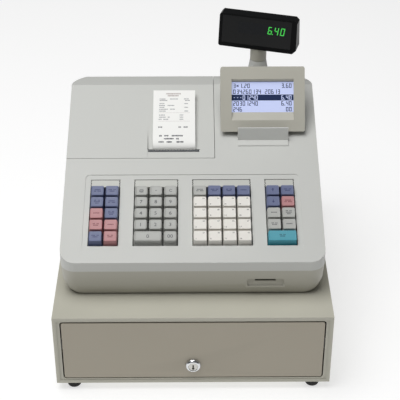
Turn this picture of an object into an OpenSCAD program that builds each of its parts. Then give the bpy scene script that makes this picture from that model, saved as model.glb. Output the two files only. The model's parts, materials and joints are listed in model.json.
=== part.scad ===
// Electronic cash register: a moulded console with keyboard, receipt printer and
// two displays, standing on a steel cash-drawer cabinet.
// X runs to the operator's right, Y runs away from the operator, Z is up.
// The origin is on the counter, under the middle of the whole register.

/* [Cabinet] */
// Width of the steel cabinet
cab_w = 355; // [350:1:365]
// Depth of the steel cabinet from its front rim to its back
cab_d = 420; // [415:1:430]
// Height of the steel cabinet without its feet
cab_h = 107.5; // [104:0.5:112]
// Height of the rubber feet
foot_h = 12; // [10:1:14]
// Thickness of the sheet steel
sheet_t = 1.5; // [1.2:0.1:1.8]
// Width of the frame to the left and right of the drawer front
frame_side = 9.2; // [8.8:0.1:10]
// Height of the frame above the drawer front
frame_top = 6.5; // [6:0.1:7]
// Height of the frame below the drawer front
frame_bottom = 7.4; // [7:0.1:8]

/* [Drawer] */
// Gap round the drawer front
drawer_gap = 1.7; // [1.4:0.1:2]
// Depth of the drawer tray behind its front
tray_d = 350; // [330:5:370]
// Height of the money insert
till_h = 56; // [50:1:60]
// How far the lock stands out of the cabinet front
lock_out = 4; // [3:0.5:5]
// Radius of the lock's bezel
lock_r = 10.2; // [9:0.1:11]
// Height of the lock's centre above the cabinet's underside
lock_up = 29.5; // [28:0.5:34]

/* [Console] */
// Width of the console
con_w = 337; // [334:1:340]
// Distance from the cabinet front back to the console front
con_setback = 42; // [40:1:44]
// Height of the console's lower case
base_h = 40.8; // [40:0.1:42]
// Height of the upper case's front wall
front_h = 13.5; // [13:0.1:14]
// Slope of the keyboard deck and printer cover in degrees
deck_slope = 20.4; // [20:0.1:21]
// Horizontal length of the sloping top
slope_run = 278.5; // [278:0.5:280]
// Wall thickness of the mouldings
wall_t = 2.5; // [2.2:0.1:2.8]
// Corner radius at the console's front
corner_front = 20; // [18:1:22]
// Corner radius at the console's back
corner_back = 45; // [43:1:47]

/* [Keyboard] */
// Distance between key centres across the register
pitch_x = 19; // [19:0.1:19.1]
// Distance between key centres up the slope
pitch_s = 18; // [17.9:0.1:18]
// Height of the key tops above the deck
key_h = 6.5; // [5:0.5:8]
// Clear space between the key banks
bank_gap = 18.3; // [18:0.1:18.6]

/* [Printer] */
// Width of the receipt paper
paper_w = 57.5; // [56:0.5:58]
// Radius of the paper roll
roll_r = 32; // [26:1:33]
// Radius of the rubber platen
platen_r = 6; // [5:0.5:6.5]

/* [Displays] */
// Width of the operator display
lcd_w = 114; // [110:1:116]
// Length of the operator display's face
lcd_h = 88; // [86:1:90]
// Thickness of the operator display
lcd_t = 18; // [16:1:19]
// Lean of the operator display back from upright in degrees
lcd_lean = 33; // [30:1:35]
// Width of the customer display
head_w = 110; // [106:1:112]
// Height of the customer display
head_h = 46; // [44:1:48]
// Depth of the customer display at its bottom
head_d = 24; // [22:1:25]
// Turn of the customer display at rest in degrees
head_turn = -16.4; // [-20:0.2:0]

/* [Hidden] */
$fn = 64;
eps = 0.01;

steel_paint = "#b9b5a6";
drawer_paint = "#8f8a7d";
moulding = "#cfcfc8";
base_moulding = "#a9a292";
numeric_grey = "#a9aaa4";
key_white = "#eceae2";
key_blue = "#7e86bd";
key_pink = "#e08a91";
key_cyan = "#52bcc9";
black_gloss = "#17181a";
metal = "#b8babd";

// Cabinet places
front_y = -(cab_d + lock_out) / 2 + lock_out;
rear_y = front_y + cab_d;
cab_top = foot_h + cab_h;
rim_w = 5;
rim_step = 0.8;
open_w = cab_w - 2 * frame_side;
open_z0 = foot_h + frame_bottom;
open_z1 = cab_top - frame_top;
open_h = open_z1 - open_z0;
open_r = 4;
foot_r = 9;
foot_edge = 3;
foot_x = 156;
foot_front_y = front_y + 12.6;
foot_back_y = rear_y - 24;
pad_r = 10;
pad_h = 1;
pad_x = 130;
pad_front_y = front_y + 78;
pad_back_y = front_y + 330;

// Drawer places
panel_w = open_w - 2 * drawer_gap;
panel_h = open_h - 2 * drawer_gap;
panel_z0 = open_z0 + drawer_gap;
panel_t = 2;
panel_depth = 15;
panel_y = front_y + 0.4;
tray_x = 160;
tray_y0 = panel_y + panel_depth;
tray_z0 = open_z0 + 3.6;
tray_wall = 1.2;
tray_top = 84;
runner_z0 = 60;
runner_h = 8;
runner_out = 7.5;
rail_gap = 0.7;
lock_z = foot_h + lock_up;
barrel_r = 8;
plug_r = 6.2;
cam_reach = 15;
run_fit = 0.05;

// Money insert places
till_x = 155;
till_y0 = tray_y0 + 16;
till_z0 = tray_z0 + tray_wall;
till_wall = 2.4;
till_cols = 4;
coin_rows = 2;
coin_d = 62;
note_d = 168;
till_d = coin_rows * coin_d + note_d + (coin_rows + 2) * till_wall;
cell_w = (2 * till_x - (till_cols + 1) * till_wall) / till_cols;
scoop_r = 18;
note_y0 = till_y0 + coin_rows * (coin_d + till_wall) + till_wall;
rod_r = 2;
rod_y = note_y0 + note_d - 12;
rod_z = till_z0 + till_h - 8;

// Console places
con_y0 = front_y + con_setback;
con_z0 = cab_top + pad_h;
seam_z = con_z0 + base_h;
deck_z0 = seam_z + front_h;
ridge_y = con_y0 + slope_run;
ridge_z = deck_z0 + slope_run * tan(deck_slope);
back_slope = 10;
shoulder_r = 7.5;
shoulder_out = 0.25;
barrel_in = 0.3;
hinge_y = ridge_y + 34.5;
hinge_z = ridge_z - (hinge_y - ridge_y) * tan(back_slope) - shoulder_r / cos(back_slope);
con_y1 = hinge_y + 11;
wall_bend_z = hinge_z - 30;
shoulder_end = 7;
round_steps = 12;
top_limit = 320;
boss_x = 148;
boss_y = [-118, 92];
boss_z = 150;
boss_r = 5;
boss_h = 45;
rib_low = 14;
screw_r = 1.7;
screw_head_r = 3.4;
base_toe_z = 5.5;
base_toe = 8.6;
base_waist_z = 19;
base_waist = 1.5;
card_x = 92.3;
card_z = cab_top + 25.4;
card_w = 26.5;
gland_x = -110;
gland_z = 147;
gland_r = 6;
cord_r = 3.6;

// Keyboard places, s measured up the slope from the deck's front edge
well_s0 = 26;
well_s1 = 131.5;
label_s0 = 118.5;
panel_s0 = 18.5;
panel_s1 = 139;
panel_x = 141;
panel_deep = 0.8;
key_cols = [2, 3, 4, 2];
key_rows = 5;
bank_edge = 0.5;
row_front_s = well_s0 + 1 + pitch_s / 2;
bank_w = [for (c = key_cols) c * pitch_x + 2 * bank_edge];
bank_total = bank_w[0] + bank_w[1] + bank_w[2] + bank_w[3] + 3 * bank_gap;
bank_x = [
    -bank_total / 2,
    -bank_total / 2 + bank_w[0] + bank_gap,
    -bank_total / 2 + bank_w[0] + bank_w[1] + 2 * bank_gap,
    bank_total / 2 - bank_w[3]
];
key_side = 0.4;
key_taper = 1;
key_skirt_n = -3.5;
key_front_slope = 1.8;
stem_w = 5;
stem_end = -12;
frame_n = -10.5;
frame_t = 2;
stem_gap = 0.7;
board_n = -19;
board_t = 1.6;

// Printer places
cover_x0 = -con_w / 2;
cover_x1 = 29.8;
cover_gap = 0.6;
cover_s = 166.8;
skirt_n = -12;
slot_s0 = 181.4;
slot_s1 = 185.6;
recess_s = 216;
recess_x0 = -60.5;
recess_x1 = 10.4;
recess_deep = 5;
paper_x = -24.6;
paper_t = 0.4;
pin_r = 2.5;
lug_w = 6.8;
lug_x = [-96, -12];
lug_r = 4.4;
roll_y = 66;
roll_z = 213;
platen_s = 190;
platen_n = -18;
cheek_t = 3;
cheek_gap = 2;
printer_z0 = 172;
printer_y0 = 0;
printer_y1 = 103;

// Display places
lcd_x = 95.5;
lcd_foot_y = front_y + 232;
lcd_foot_z = cab_top + 134;
lcd_seam = -8;
lcd_under = 24.3;
screen_w = 84;
screen_u0 = 26.5;
screen_u1 = 66.3;
screen_deep = 4.5;
tilt_y = lcd_foot_y + 9.1;
tilt_z = lcd_foot_z + 1.2;
knuckle_r = 4.4;
bracket_w = 68;
ear_w = 4;
bracket_ears = [-28, 0, 28];
pole_x = 92.5;
pole_y = 127;
collar_top = cab_top + 191.8;
collar_foot = 262;
collar_plug_r = 14;
neck_r = 11.3;
spigot_r = 8;
head_z = cab_top + 211;
head_lean = 11;

// ---------- helpers ----------

// Turns a shape into the sloping deck's own frame: Y runs up the slope, Z out of it
module on_deck() {
    translate([0, con_y0, deck_z0]) rotate([deck_slope, 0, 0]) children();
}

// Extrudes an outline of (y, z) points along X
module along_x(x0, x1) {
    translate([x0, 0, 0]) rotate([90, 0, 90]) linear_extrude(x1 - x0) children();
}

// Extrudes an outline of (x, z) points along Y
module along_y(y0, y1) {
    translate([0, y1, 0]) rotate([90, 0, 0]) linear_extrude(y1 - y0) children();
}

// A box between two corners
module box(low, high) {
    translate(low) cube([high[0] - low[0], high[1] - low[1], high[2] - low[2]]);
}

// A rod along X
module rod_x(x0, x1, r) {
    translate([x0, 0, 0]) rotate([0, 90, 0]) cylinder(h = x1 - x0, r = r);
}

// A rectangle with round corners
module round_rect(low, high, r) {
    translate([low[0] + r, low[1]]) square([high[0] - low[0] - 2 * r, high[1] - low[1]]);
    translate([low[0], low[1] + r]) square([high[0] - low[0], high[1] - low[1] - 2 * r]);
    for (x = [low[0] + r, high[0] - r], y = [low[1] + r, high[1] - r]) {
        translate([x, y]) circle(r);
    }
}

// Outline of the console seen from above, drawn in by t all round
module plan(t) {
    half = con_w / 2 - t;
    rf = corner_front - t;
    rb = corner_back - t;
    y0 = con_y0 + t;
    y1 = con_y1 - t;
    translate([-half + rb, y0 + rf]) square([2 * (half - rb), y1 - y0 - rf]);
    translate([-half, y0 + rf]) square([2 * half, y1 - y0 - rf - rb]);
    translate([-half + rf, y0]) square([2 * (half - rf), rf + eps]);
    for (side = [-1, 1]) {
        translate([side * (half - rf), y0 + rf]) circle(rf);
        translate([side * (half - rb), y1 - rb]) circle(rb);
    }
}

// Side outline of the upper case, drawn in by t
module side_outline(t) {
    drop = t / cos(deck_slope);
    back_drop = t / cos(back_slope);
    span = (drop - back_drop) / (tan(deck_slope) + tan(back_slope));
    polygon(concat(
        [
            [con_y0 + t, seam_z - eps],
            [con_y0 + t, deck_z0 + t * tan(deck_slope) - drop],
            [ridge_y + span, ridge_z - drop + span * tan(deck_slope)]
        ],
        [
            for (i = [0:round_steps])
                let (a = 90 - back_slope - i * (90 - back_slope - shoulder_end) / round_steps)
                [hinge_y + (shoulder_r - t) * cos(a), hinge_z + (shoulder_r - t) * sin(a)]
        ],
        [
            [con_y1 - t, wall_bend_z],
            [con_y1 - t, seam_z - eps]
        ]
    ));
}

// The upper case as a filled block, drawn in by t
module upper_block(t) {
    intersection() {
        translate([0, 0, seam_z - (t > 0 ? eps : 0)]) linear_extrude(top_limit - seam_z) plan(t);
        along_x(-con_w, con_w) side_outline(t);
    }
}

// Centre of a key's column in a bank
function key_x(bank, col) = bank_x[bank] + bank_edge + (col + 0.5) * pitch_x;

// Centre of a key's row, row 0 being the one farthest from the operator
function key_s(row) = row_front_s + (key_rows - 1 - row) * pitch_s;

// Side outline of the region taken by the printer cover, grown by g
module cover_region(g) {
    start = [con_y0 + (cover_s - g) * cos(deck_slope), deck_z0 + (cover_s - g) * sin(deck_slope)];
    up = [-sin(deck_slope), cos(deck_slope)];
    deep = skirt_n - g;
    high = 60;
    union() {
        polygon([
            start + high * up,
            start + deep * up,
            [hinge_y, hinge_z - shoulder_r - shoulder_out - g],
            [hinge_y, hinge_z + high]
        ]);
        translate([hinge_y, hinge_z]) circle(shoulder_r + shoulder_out + g);
    }
}

// ---------- cabinet ----------

module cabinet_shell() color(steel_paint) {
    half = cab_w / 2;
    difference() {
        union() {
            difference() {
                box([-half, front_y, foot_h], [half, rear_y, cab_top]);
                box([-half + sheet_t, front_y - 1, foot_h + sheet_t],
                    [half - sheet_t, rear_y - sheet_t, cab_top - sheet_t]);
            }
            box([-half, front_y, foot_h], [half, front_y + rim_step + sheet_t, cab_top]);
        }
        box([-half + rim_w, front_y - 1, foot_h + rim_w],
            [half - rim_w, front_y + rim_step, cab_top - rim_w]);
        along_y(front_y - 1, front_y + rim_step + sheet_t + 1)
            round_rect([-open_w / 2, open_z0], [open_w / 2, open_z1], open_r);
    }
}

module cabinet_rails() color(metal) {
    y0 = tray_y0 + 1;
    y1 = rear_y - sheet_t - 2;
    inner = tray_x + 1.5;
    outer = cab_w / 2 - sheet_t;
    groove = tray_x + runner_out + rail_gap;
    z0 = runner_z0 - 6;
    z1 = runner_z0 + runner_h + 6;
    for (side = [0, 1]) mirror([side, 0, 0]) difference() {
        box([inner, y0, z0], [outer, y1, z1]);
        box([inner - 1, y0 - 1, runner_z0 - rail_gap],
            [groove, y1 - 4, runner_z0 + runner_h + rail_gap]);
    }
}

module rubber_feet() color("#242424") {
    for (x = [-foot_x, foot_x], y = [foot_front_y, foot_back_y]) translate([x, y, 0]) {
        rotate_extrude() {
            square([foot_r - foot_edge, foot_h]);
            translate([0, foot_edge]) square([foot_r, foot_h - foot_edge]);
            translate([foot_r - foot_edge, foot_edge]) circle(foot_edge);
        }
    }
    for (x = [-pad_x, pad_x], y = [pad_front_y, pad_back_y]) {
        translate([x, y, cab_top]) cylinder(h = pad_h, r = pad_r);
    }
}

// ---------- drawer ----------

module drawer_front() color(drawer_paint) {
    half = panel_w / 2;
    z1 = panel_z0 + panel_h;
    difference() {
        along_y(panel_y, panel_y + panel_depth) round_rect([-half, panel_z0], [half, z1], 3);
        box([-half + panel_t, panel_y + panel_t, panel_z0 + panel_t],
            [half - panel_t, panel_y + panel_depth + 1, z1 - panel_t]);
        translate([0, panel_y - 1, lock_z]) rotate([-90, 0, 0]) cylinder(h = 5, r = barrel_r);
    }
}

module drawer_tray() color(metal) {
    difference() {
        box([-tray_x, tray_y0, tray_z0], [tray_x, tray_y0 + tray_d, tray_top]);
        box([-tray_x + tray_wall, tray_y0 + tray_wall, tray_z0 + tray_wall],
            [tray_x - tray_wall, tray_y0 + tray_d - tray_wall, tray_top + 1]);
        translate([0, tray_y0 - 1, lock_z]) rotate([-90, 0, 0]) cylinder(h = 4, r = barrel_r + 4);
    }
}

module drawer_runners() color(metal) {
    for (side = [0, 1]) mirror([side, 0, 0]) {
        box([tray_x, tray_y0 + 1, runner_z0],
            [tray_x + runner_out, tray_y0 + tray_d - 20, runner_z0 + runner_h]);
    }
}

// One money pocket, scooped at its front and back
module pocket(w, d, h, r) {
    along_x(0, w) {
        translate([r, 0]) square([d - 2 * r, h]);
        translate([0, r]) square([d, h - r]);
        for (y = [r, d - r]) translate([y, r]) circle(r);
    }
}

module till_insert() color("#3a3a3a") {
    difference() {
        box([-till_x, till_y0, till_z0], [till_x, till_y0 + till_d, till_z0 + till_h]);
        for (c = [0:till_cols - 1]) {
            x = -till_x + till_wall + c * (cell_w + till_wall);
            for (r = [0:coin_rows - 1]) {
                translate([x, till_y0 + till_wall + r * (coin_d + till_wall), till_z0 + till_wall])
                    pocket(cell_w, coin_d, till_h, scoop_r);
            }
            translate([x, note_y0, till_z0 + till_wall]) pocket(cell_w, note_d, till_h, 2);
        }
        translate([0, rod_y, rod_z]) rod_x(-till_x - 1, till_x + 1, rod_r);
    }
}

module clip_rod() color(metal) {
    translate([0, rod_y, rod_z]) rod_x(-till_x, till_x, rod_r);
}

module bill_clips() color("#8d8f90") {
    clip_w = 46;
    hub_r = 4.5;
    reach = 92;
    tip_z = till_z0 + till_wall + 1.4 - rod_z;
    bar_t = 2.4;
    for (c = [0:till_cols - 1]) {
        x = -till_x + till_wall + c * (cell_w + till_wall) + (cell_w - clip_w) / 2;
        translate([x, rod_y, rod_z]) difference() {
            union() {
                rod_x(0, clip_w, hub_r);
                along_x(0, clip_w) polygon([
                    [0, -hub_r],
                    [0, -hub_r + bar_t],
                    [-reach + 14, tip_z + bar_t + 4],
                    [-reach, tip_z + bar_t],
                    [-reach, tip_z],
                    [-reach + 14, tip_z]
                ]);
            }
            rod_x(-1, clip_w + 1, rod_r + run_fit);
            box([10, -reach + 18, tip_z - 1], [clip_w - 10, -hub_r - 8, 20]);
        }
    }
}

module lock_bezel() color(metal) {
    face = panel_y - front_y + lock_out;
    translate([0, panel_y, lock_z]) rotate([90, 0, 0]) {
        rotate_extrude() difference() {
            union() {
                polygon([[0, 0], [lock_r, 0], [lock_r, 1], [lock_r - 1, 2.4], [lock_r - 3, face], [0, face]]);
                translate([0, -24]) square([barrel_r, 24]);
            }
            translate([-1, -26]) square([plug_r + run_fit + 1, 40]);
        }
    }
}

module lock_cylinder() color("#c9cbcc") {
    face = panel_y - front_y + lock_out - 0.6;
    key_w = 1.6;
    translate([0, panel_y, lock_z]) rotate([90, 0, 0]) difference() {
        translate([0, 0, -26]) cylinder(h = 26 + face, r = plug_r);
        translate([-key_w / 2, -3.6, face - 6]) cube([key_w, 6.6, 8]);
        translate([0, -3, face - 6]) cylinder(h = 8, r = 1.7);
    }
}

module lock_cam() color(metal) {
    y = panel_y + 26;
    translate([0, y, lock_z]) rotate([-90, 0, 0]) {
        linear_extrude(2) union() {
            circle(plug_r);
            translate([0, -4]) square([cam_reach, 8]);
        }
    }
}

// ---------- console case ----------

// Solid of the lower case: full outline at the seam, drawn in towards its foot
module base_block(t) {
    slice = 0.4;
    module slab(z, inset) {
        scale_x = (con_w / 2 - inset) / (con_w / 2);
        mid_y = (con_y0 + con_y1) / 2;
        scale_y = ((con_y1 - con_y0) / 2 - inset) / ((con_y1 - con_y0) / 2);
        translate([0, mid_y, z]) scale([scale_x, scale_y, 1])
            translate([0, -mid_y, 0]) linear_extrude(slice) plan(0, $fn = 32);
    }
    hull() {
        slab(con_z0 + t, base_toe + t);
        slab(con_z0 + base_toe_z + t / 2, base_toe_z + t);
        slab(con_z0 + base_waist_z, base_waist + t);
        slab(seam_z - slice + (t > 0 ? 1 : 0), t);
    }
}

module case_base() color(base_moulding) {
    slot_x0 = 69.2;
    slot_x1 = 116;
    slot_z0 = cab_top + 16.5;
    slot_z1 = cab_top + 28.4;
    difference() {
        union() {
            difference() {
                base_block(0);
                base_block(wall_t);
            }
            for (x = [-boss_x, boss_x], y = boss_y) {
                translate([x, y, con_z0 + 1]) cylinder(h = boss_z - con_z0 - 1, r = boss_r);
            }
            box([slot_x0 - 2, con_y0 + 1.8, slot_z0 - 2], [slot_x1 + 2, con_y0 + 6, slot_z1 + 2]);
        }
        for (x = [-boss_x, boss_x], y = boss_y) {
            translate([x, y, con_z0 - 1]) cylinder(h = 4, r = 4);
            translate([x, y, con_z0]) cylinder(h = boss_z, r = 2);
        }
        along_y(con_y0 - 1, con_y0 + 3.6)
            round_rect([slot_x0, slot_z0], [slot_x1, slot_z1], 2.5);
        box([card_x - card_w / 2, con_y0, card_z - 1.7], [card_x + card_w / 2, con_y0 + 8, card_z + 1.7]);
        translate([gland_x, con_y1 - 12, gland_z]) rotate([-90, 0, 0]) cylinder(h = 20, r = gland_r);
    }
}

module case_top() color(moulding) {
    difference() {
        union() {
            difference() {
                upper_block(0);
                upper_block(wall_t);
            }
            intersection() {
                union() {
                    for (x = [-boss_x, boss_x], y = boss_y) {
                        translate([x, y, boss_z]) cylinder(h = boss_h, r = boss_r);
                        box([min(x, sign(x) * con_w / 2), y - 1, boss_z + rib_low],
                            [max(x, sign(x) * con_w / 2), y + 1, boss_z + boss_h]);
                    }
                    hinge_lugs();
                }
                union() {
                    upper_block(0.5);
                    box([-boss_x - 6, con_y0 + 20, boss_z], [boss_x + 6, con_y1 - 40, seam_z]);
                }
            }
        }
        on_deck() {
            for (b = [0:len(key_cols) - 1]) {
                box([bank_x[b], well_s0, -10], [bank_x[b] + bank_w[b], well_s1, 10]);
            }
            translate([0, 0, -panel_deep]) linear_extrude(10)
                round_rect([-panel_x, panel_s0], [panel_x, panel_s1], 6);
        }
        difference() {
            along_x(cover_x0 - 1, cover_x1 + cover_gap) cover_region(cover_gap);
            hinge_lugs();
        }
        for (x = [-boss_x, boss_x], y = boss_y) {
            translate([x, y, boss_z - 1]) cylinder(h = 12, r = screw_r);
        }
        translate([0, hinge_y, hinge_z]) rod_x(lug_x[0] - 30, lug_x[1] + 30, pin_r);
        translate([pole_x, pole_y, collar_foot - 1]) cylinder(h = 80, r = collar_plug_r + run_fit);
    }
}

// Fixed collar that carries the customer display, plugged into the upper case
module display_collar() color(moulding) {
    top = collar_top;
    foot = ridge_z - 8;
    difference() {
        union() {
            difference() {
                translate([pole_x, pole_y, 0]) rotate_extrude() polygon([
                    [0, foot], [17, foot], [16, ridge_z + 4], [13.4, top - 12],
                    [12.2, top - 5], [neck_r, top], [0, top]
                ]);
                upper_block(0);
            }
            translate([pole_x, pole_y, collar_foot]) cylinder(h = top - collar_foot - 16, r = collar_plug_r);
        }
        translate([pole_x, pole_y, collar_foot - 1]) cylinder(h = 80, r = spigot_r + run_fit);
    }
}

// Lugs on the upper case that hold the cover's hinge pins
module hinge_lugs() {
    for (x = lug_x) {
        translate([0, hinge_y, hinge_z]) rod_x(x - lug_w / 2, x + lug_w / 2, lug_r);
        along_x(x - lug_w / 2, x + lug_w / 2) polygon([
            [hinge_y - lug_r, hinge_z], [hinge_y + lug_r, hinge_z],
            [hinge_y + lug_r, hinge_z - 9], [con_y1 - wall_t / 2, hinge_z - 16],
            [con_y1 - wall_t / 2, hinge_z - 34], [hinge_y - lug_r, hinge_z - 14]
        ]);
    }
}

module case_screws() color(metal) {
    for (x = [-boss_x, boss_x], y = boss_y) translate([x, y, con_z0 + 0.6]) {
        cylinder(h = 2.4, r = screw_head_r);
        cylinder(h = boss_z + 9 - con_z0, r = screw_r);
    }
}

// ---------- keyboard ----------

module bank_labels() color(key_white) on_deck() {
    for (b = [0:len(key_cols) - 1]) {
        box([bank_x[b] + 0.8, label_s0, -4], [bank_x[b] + bank_w[b] - 0.8, well_s1 - 0.9, 0]);
    }
}

module key_frame() color("#55565a") on_deck() {
    x1 = panel_x - 1;
    s0 = well_s0 - 3;
    s1 = well_s1 + 3;
    hole = stem_w / 2 + stem_gap;
    difference() {
        union() {
            box([-x1, s0, frame_n], [x1, s1, frame_n + frame_t]);
            for (b = [0:len(key_cols) - 2]) {
                box([bank_x[b] + bank_w[b] + 6, s0, frame_n], [bank_x[b + 1] - 6, s1, -wall_t]);
            }
            for (x = [-x1 + 4, x1 - 4], s = [s0 + 5, s1 - 5]) {
                translate([x, s, board_n + board_t]) cylinder(h = frame_n - board_n, r = 3);
            }
            for (b = [0:len(key_cols) - 1]) {
                box([bank_x[b] + 2, label_s0 + 2, frame_n], [bank_x[b] + bank_w[b] - 2, well_s1 - 2, -4]);
            }
        }
        for (b = [0:len(key_cols) - 1], c = [0:key_cols[b] - 1], r = [0:key_rows - 1]) {
            translate([key_x(b, c) - hole, key_s(r) - hole, frame_n - 1])
                cube([2 * hole, 2 * hole, frame_t + 2]);
        }
        for (b = [1, 3]) {
            translate([key_x(b, 0.5) - hole, key_s(key_rows - 1) - hole, frame_n - 1])
                cube([2 * hole, 2 * hole, frame_t + 2]);
        }
    }
}

module key_board() color("#2f6b45") on_deck() {
    box([-panel_x + 2, well_s0 - 2, board_n], [panel_x - 2, well_s1 + 2, board_n + board_t]);
}

// One key: cap with sloping flanks, skirt into the well, guide stem.
// w is its width in key pitches
module key(x, s, w) {
    half_x = w * pitch_x / 2 - key_side;
    half_s = pitch_s / 2 - 0.3;
    translate([x, s, 0]) {
        intersection() {
            along_y(-half_s, half_s) polygon([
                [-half_x, key_skirt_n], [-half_x, 0], [-half_x + key_taper, key_h],
                [half_x - key_taper, key_h], [half_x, 0], [half_x, key_skirt_n]
            ]);
            along_x(-half_x, half_x) polygon([
                [-half_s, key_skirt_n], [-half_s, 0], [-half_s + key_front_slope, key_h],
                [half_s - 0.4, key_h], [half_s, 0], [half_s, key_skirt_n]
            ]);
        }
        box([-stem_w / 2, -stem_w / 2, stem_end], [stem_w / 2, stem_w / 2, key_skirt_n + eps]);
    }
}

// One column of single keys in a bank
module key_column(bank, col, rows) {
    on_deck() for (r = rows) key(key_x(bank, col), key_s(r), 1);
}

// One numeric key with a dished top
module number_key(row, col, w = 1) {
    dish_r = 60;
    mid = key_x(1, col + (w - 1) / 2);
    color(numeric_grey) on_deck() difference() {
        key(mid, key_s(row), w);
        translate([mid, key_s(row), key_h + dish_r - 0.7]) {
            rotate([0, 90, 0]) cylinder(h = 3 * pitch_x, r = dish_r, center = true, $fn = 180);
        }
    }
}

module keys_left_a() color(key_pink) key_column(0, 0, [0:4]);
module keys_left_b() color(key_blue) key_column(0, 1, [0:4]);
module key_at() number_key(0, 0);
module key_point() number_key(0, 1);
module key_clear() number_key(0, 2);
module key_7() number_key(1, 0);
module key_8() number_key(1, 1);
module key_9() number_key(1, 2);
module key_4() number_key(2, 0);
module key_5() number_key(2, 1);
module key_6() number_key(2, 2);
module key_1() number_key(3, 0);
module key_2() number_key(3, 1);
module key_3() number_key(3, 2);
module key_0() number_key(4, 0, 2);
module key_00() number_key(4, 2);
module keys_sale_a() color(key_white) key_column(2, 0, [0:4]);
module keys_sale_b() color(key_white) key_column(2, 1, [0:4]);
module keys_sale_c() color(key_white) key_column(2, 2, [0:4]);
module keys_sale_d() color(key_white) key_column(2, 3, [0:4]);
module keys_right_a() color(key_blue) key_column(3, 0, [0:3]);
module keys_right_b() color(numeric_grey) key_column(3, 1, [0:3]);
module key_total() color(key_cyan) on_deck() key(key_x(3, 0.5), key_s(4), 2);

// ---------- inside the console ----------

module transformer() color("#6a6a6e") {
    mid_x = 112;
    mid_y = 56;
    floor_z = con_z0 + wall_t + 0.4;
    core = [30, 26, 49.6];
    coil = [20, 34, 30];
    coil_z = floor_z + (core[2] - coil[2]) / 2;
    box([mid_x - core[0], mid_y - core[1], floor_z], [mid_x + core[0], mid_y + core[1], floor_z + core[2]]);
    box([mid_x - coil[0], mid_y - coil[1], coil_z], [mid_x + coil[0], mid_y + coil[1], coil_z + coil[2]]);
}

module card_slot() color("#26282a") {
    mouth_y = con_y0 + 6.2;
    body = [15, 27.8, 4];
    room = [12.2, 24.8, 1.2];
    difference() {
        box([card_x - body[0], mouth_y, card_z - body[2]],
            [card_x + body[0], mouth_y + body[1], card_z + body[2]]);
        box([card_x - room[0], mouth_y - 1, card_z - room[2]],
            [card_x + room[0], mouth_y + room[1], card_z + room[2]]);
    }
}

module cord_gland() color(black_gloss) {
    translate([gland_x, con_y1 + 4, gland_z]) rotate([90, 0, 0]) rotate_extrude() difference() {
        polygon([[0, 0], [7.6, 0], [8.6, 1], [8.6, 4], [gland_r, 4], [gland_r, 14], [0, 14]]);
        translate([-1, -1]) square([cord_r + 1, 20]);
    }
}

// ---------- printer ----------

// Side outline of the printer's cheeks
module cheek_outline() {
    polygon([
        [printer_y0, printer_z0], [printer_y1, printer_z0],
        [printer_y1, printer_z0 + 62], [printer_y0 + 40, printer_z0 + 60],
        [printer_y0 + 26, printer_z0 + 57], [printer_y0, printer_z0 + 42]
    ]);
}

module platen_axis() {
    on_deck() translate([0, platen_s, platen_n]) children();
}

module printer_frame() color("#3d3f42") {
    x0 = paper_x - paper_w / 2 - cheek_gap;
    x1 = paper_x + paper_w / 2 + cheek_gap;
    difference() {
        union() {
            along_x(x0 - cheek_t, x0) cheek_outline();
            along_x(x1, x1 + cheek_t) cheek_outline();
            box([x0 - cheek_t, printer_y0, printer_z0], [x1 + cheek_t, printer_y1, printer_z0 + 3]);
            difference() {
                box([x0, roll_y - roll_r - 4, printer_z0], [x1, printer_y1, roll_z - 12]);
                translate([0, roll_y, roll_z]) rod_x(x0 - 1, x1 + 1, roll_r + 0.6);
            }
            for (x = [x0 + 2, x1 - 2], y = [printer_y0 + 8, printer_y1 - 8]) {
                translate([x, y, con_z0 + wall_t]) cylinder(h = printer_z0 - con_z0 - wall_t + 1, r = 4);
            }
            box([x0, printer_y0 + 1, printer_z0], [x1, printer_y0 + 4, printer_z0 + 38]);
        }
        platen_axis() rod_x(x0 - 10, x1 + 10, pin_r + run_fit);
    }
}

module platen_roller() color("#1f1f1f") {
    x0 = paper_x - paper_w / 2;
    x1 = paper_x + paper_w / 2;
    platen_axis() {
        rod_x(x0, x1, platen_r);
        rod_x(x0 - cheek_gap - cheek_t - 2, x1 + cheek_gap + cheek_t + 2, pin_r);
    }
}

module paper_roll() color("#f4f4f2") {
    translate([0, roll_y, roll_z]) difference() {
        rod_x(paper_x - paper_w / 2, paper_x + paper_w / 2, roll_r);
        rod_x(paper_x - paper_w, paper_x + paper_w, 6);
    }
}

module printer_cover() color(moulding) {
    inner_x0 = cover_x0 + 30;
    difference() {
        union() {
            intersection() {
                difference() {
                    upper_block(0);
                    upper_block(wall_t);
                }
                along_x(cover_x0 - 1, cover_x1) cover_region(0);
            }
            on_deck() along_x(recess_x0 - 2, recess_x1 + 2) polygon([
                [slot_s0 - 2.4, -7.6], [recess_s + 4, -wall_t], [recess_s + 4, -1], [slot_s0 - 2.4, -1]
            ]);
            translate([0, hinge_y, hinge_z]) rod_x(inner_x0, cover_x1, shoulder_r - barrel_in);
        }
        for (x = lug_x) {
            cut = lug_w / 2 + 0.6;
            box([x - cut, hinge_y - 12, hinge_z - 12], [x + cut, hinge_y + 12, hinge_z + lug_r + 0.3]);
        }
        translate([0, hinge_y, hinge_z]) rod_x(lug_x[0] - 18, lug_x[1] + 18, pin_r + run_fit);
        on_deck() {
            along_x(recess_x0, recess_x1) polygon([
                [slot_s0, 5], [slot_s0, -12], [slot_s1, -12],
                [slot_s1, -recess_deep], [recess_s, 0], [recess_s, 5]
            ]);
            box([recess_x0, cover_s + 1.6, -1], [recess_x1, slot_s0 + 1, 5]);
        }
    }
}

// Steel pins of the printer cover and of the operator display
module hinge_pins() color(metal) {
    for (x = lug_x) translate([0, hinge_y, hinge_z]) rod_x(x - 13, x + 13, pin_r);
    translate([lcd_x, tilt_y, tilt_z]) rod_x(-bracket_w / 2 + 1, bracket_w / 2 - 1, pin_r);
}

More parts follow.
